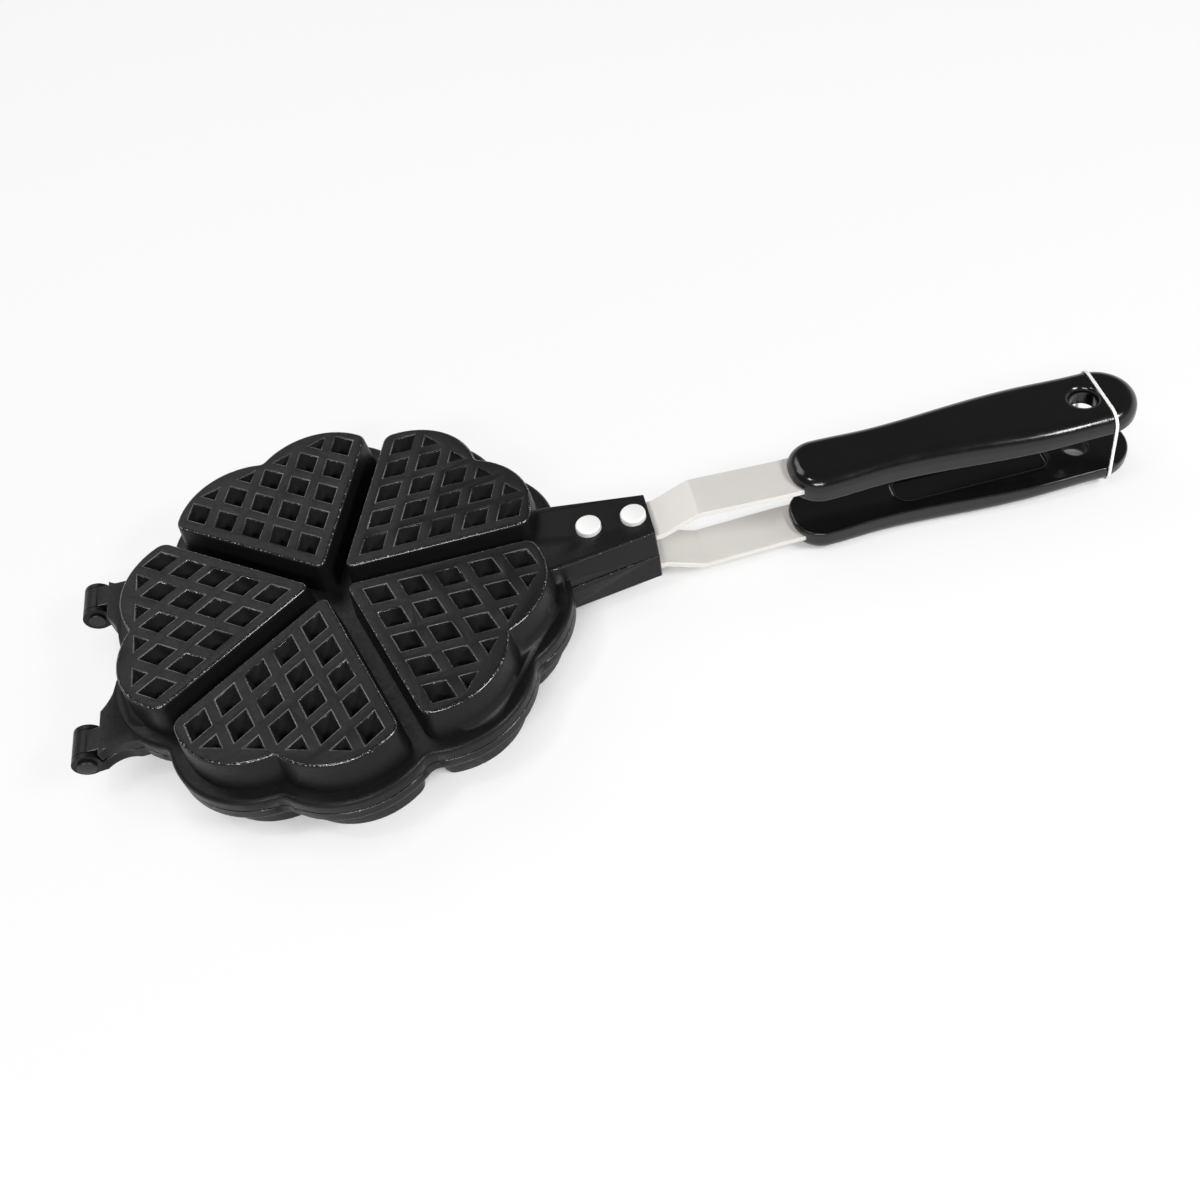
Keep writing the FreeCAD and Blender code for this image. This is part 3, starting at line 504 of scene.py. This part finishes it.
def band_piece(low, high):
    """A loop of rubber: a rounded rectangle in the cross plane carries a squared oval section,
    BAND_THICKNESS times as thick as wide, and the loop leans along the handle with z."""
    middle, half = (low + high) / 2, (high - low) / 2
    wide, thick = half[0], half[0] * BAND_THICKNESS
    quarter = np.arange(4)[:, None]
    turn = (quarter * math.pi / 2 + np.linspace(0, math.pi / 2, TURN_STEPS)).ravel()
    side_y = np.repeat([1, -1, -1, 1], TURN_STEPS) * (half[1] - thick - BAND_CORNER)
    side_z = np.repeat([1, 1, -1, -1], TURN_STEPS) * (half[2] - thick - BAND_CORNER)
    out_y, out_z = np.cos(turn), np.sin(turn)
    angle = np.linspace(0, 2 * math.pi, SECTION_STEPS, endpoint=False)
    across, through = wide * squared(np.cos(angle)), thick * squared(np.sin(angle))
    reach = BAND_CORNER + through[None, :]
    y = side_y[:, None] + out_y[:, None] * reach
    z = side_z[:, None] + out_z[:, None] * reach
    x = across[None, :] - BAND_LEAN * z / half[2]
    return grid_piece("rubber_band", np.stack([x, y, z], axis=-1) + middle, True)


def band_material():
    """Matt white rubber with a slight yellow cast."""
    made, tree, principled = new_material(
        "white rubber", Base_Color=(0.8, 0.79, 0.76, 1), Roughness=0.6
    )
    add_grain(tree, principled, fine=3000.0, coarse=900.0, depth=0.00004)
    return made


band_low, band_high = (np.array(corner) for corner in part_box("elastic_band"))
band = band_piece(band_low, band_high)
band.data.materials.append(band_material())
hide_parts("elastic_band")
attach(band, "lower_half")
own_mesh(band)


# Studio
# A pale floor under the iron, a bright surround near the horizon, soft boxes above, and a camera
# at the photograph's viewpoint.
FLOOR_HALF = 3.0
FLOOR_WHITE, SHADE_REACH = 0.8, 0.016
ALL_WHITE_FROM, ALL_WHITE_AT = 0.3, 0.75
SKY_LOW, SKY_HIGH = 0.1, 0.4
SKY_BRIGHT, SKY_DIM = 1.0, 0.14
floor_mesh = bpy.data.meshes.new("floor")
floor_signs = ((-1, -1), (1, -1), (1, 1), (-1, 1))
floor_corners = [(x * FLOOR_HALF, y * FLOOR_HALF, 0) for x, y in floor_signs]
floor_mesh.from_pydata(floor_corners, [], [(0, 1, 2, 3)])
floor = bpy.data.objects.new("floor", floor_mesh)
bpy.context.scene.collection.objects.link(floor)


def floor_material():
    """White to the camera and in reflections, with a share of the lit surface so that the
    object's shadow stays. Close under something it isn't white, and far out it is all white."""
    made, tree, principled = new_material(
        "white floor", Base_Color=(0.86, 0.86, 0.86, 1), Roughness=0.9
    )
    rays = node(tree, "ShaderNodeLightPath")
    seen = node(tree, "ShaderNodeMath", operation="ADD", use_clamp=True)
    also = node(tree, "ShaderNodeMath", operation="ADD", use_clamp=True)
    open_floor = node(tree, "ShaderNodeAmbientOcclusion", {"Distance": SHADE_REACH}, samples=8)
    share = node(tree, "ShaderNodeMath", {1: FLOOR_WHITE}, operation="MULTIPLY")
    lit_share = node(tree, "ShaderNodeMath", operation="MULTIPLY")
    glow = node(tree, "ShaderNodeEmission", {"Color": (1, 1, 1, 1), "Strength": 1.0})
    mix = node(tree, "ShaderNodeMixShader")
    place = node(tree, "ShaderNodeTexCoord")
    way_out = node(tree, "ShaderNodeVectorMath", operation="LENGTH")
    fading = {"From Min": ALL_WHITE_FROM, "From Max": ALL_WHITE_AT}
    far = node(tree, "ShaderNodeMapRange", fading)
    wide_share = node(tree, "ShaderNodeMath", operation="MAXIMUM")
    tree.links.new(rays.outputs["Is Camera Ray"], seen.inputs[0])
    tree.links.new(rays.outputs["Is Glossy Ray"], seen.inputs[1])
    tree.links.new(seen.outputs[0], also.inputs[0])
    tree.links.new(rays.outputs["Is Transmission Ray"], also.inputs[1])
    tree.links.new(also.outputs[0], share.inputs[0])
    tree.links.new(share.outputs[0], lit_share.inputs[0])
    tree.links.new(open_floor.outputs["AO"], lit_share.inputs[1])
    tree.links.new(place.outputs["Object"], way_out.inputs[0])
    tree.links.new(way_out.outputs["Value"], far.inputs["Value"])
    tree.links.new(lit_share.outputs[0], wide_share.inputs[0])
    tree.links.new(far.outputs["Result"], wide_share.inputs[1])
    tree.links.new(wide_share.outputs[0], mix.inputs["Fac"])
    tree.links.new(principled.outputs[0], mix.inputs[1])
    tree.links.new(glow.outputs[0], mix.inputs[2])
    tree.links.new(mix.outputs[0], tree.nodes["Material Output"].inputs["Surface"])
    return made


floor.data.materials.append(floor_material())

world = bpy.data.worlds.new("studio")
bpy.context.scene.world = world
world.use_nodes = True
sky = world.node_tree
around = node(sky, "ShaderNodeTexCoord")
parts = node(sky, "ShaderNodeSeparateXYZ")
sky_range = {"From Min": SKY_LOW, "From Max": SKY_HIGH, "To Min": SKY_BRIGHT, "To Max": SKY_DIM}
fade = node(sky, "ShaderNodeMapRange", sky_range)
sky.links.new(around.outputs["Generated"], parts.inputs["Vector"])
sky.links.new(parts.outputs["Z"], fade.inputs["Value"])
sky.links.new(fade.outputs["Result"], sky.nodes["Background"].inputs["Strength"])
sky.nodes["Background"].inputs["Color"].default_value = (1, 1, 1, 1)


def soft_box(name, place, aim, width, height, power):
    """A rectangular lamp at a place, facing a point."""
    lamp = bpy.data.lights.new(name, "AREA")
    lamp.shape = "RECTANGLE"
    lamp.size = width
    lamp.size_y = height
    lamp.energy = power
    made = bpy.data.objects.new(name, lamp)
    facing = (Vector(place) - Vector(aim)).to_track_quat("Z", "Y")
    made.matrix_world = Matrix.Translation(place) @ facing.to_matrix().to_4x4()
    bpy.context.scene.collection.objects.link(made)
    return made


soft_box("key soft box", (-0.35, 0.75, 0.95), (0.08, 0, 0), width=0.7, height=0.5, power=3.4)
soft_box("side soft box", (0.8, -0.5, 0.7), (0.08, 0, 0), width=0.35, height=0.2, power=7.5)
soft_box("front soft box", (-0.2, -0.9, 0.8), (0.05, 0, 0), width=0.6, height=0.14, power=7.0)
soft_box("small soft box", (-0.35, -0.1, 1.05), (0.16, 0, 0), width=0.14, height=0.14, power=1.6)

VIEW_TURN, VIEW_RISE, VIEW_ROLL = (math.radians(a) for a in (-1.373, 49.781, -12.975))
VIEW_DISTANCE = 0.43812
VIEW_ASIDE, VIEW_UP = 0.090996, -0.006852
SENSOR, FOCAL_SHARE = 36.0, 1.08615
NEAREST_SHOWN = 0.01
back_x = math.sin(VIEW_TURN) * math.cos(VIEW_RISE)
back_y = -math.cos(VIEW_TURN) * math.cos(VIEW_RISE)
back = Vector((back_x, back_y, math.sin(VIEW_RISE)))
level_right = Vector((math.cos(VIEW_TURN), math.sin(VIEW_TURN), 0))
level_up = back.cross(level_right)
right = level_right * math.cos(VIEW_ROLL) + level_up * math.sin(VIEW_ROLL)
up = level_up * math.cos(VIEW_ROLL) - level_right * math.sin(VIEW_ROLL)
stand = Vector((0, 0, closed_depth)) + back * VIEW_DISTANCE + right * VIEW_ASIDE + up * VIEW_UP
lens = bpy.data.cameras.new("photo camera")
lens.sensor_width = SENSOR
lens.lens = SENSOR * FOCAL_SHARE
lens.clip_start = NEAREST_SHOWN
camera = bpy.data.objects.new("photo camera", lens)
camera.matrix_world = Matrix.Translation(stand) @ Matrix((right, up, back)).transposed().to_4x4()
bpy.context.scene.collection.objects.link(camera)
bpy.context.scene.camera = camera
bpy.context.scene.view_settings.view_transform = "Standard"
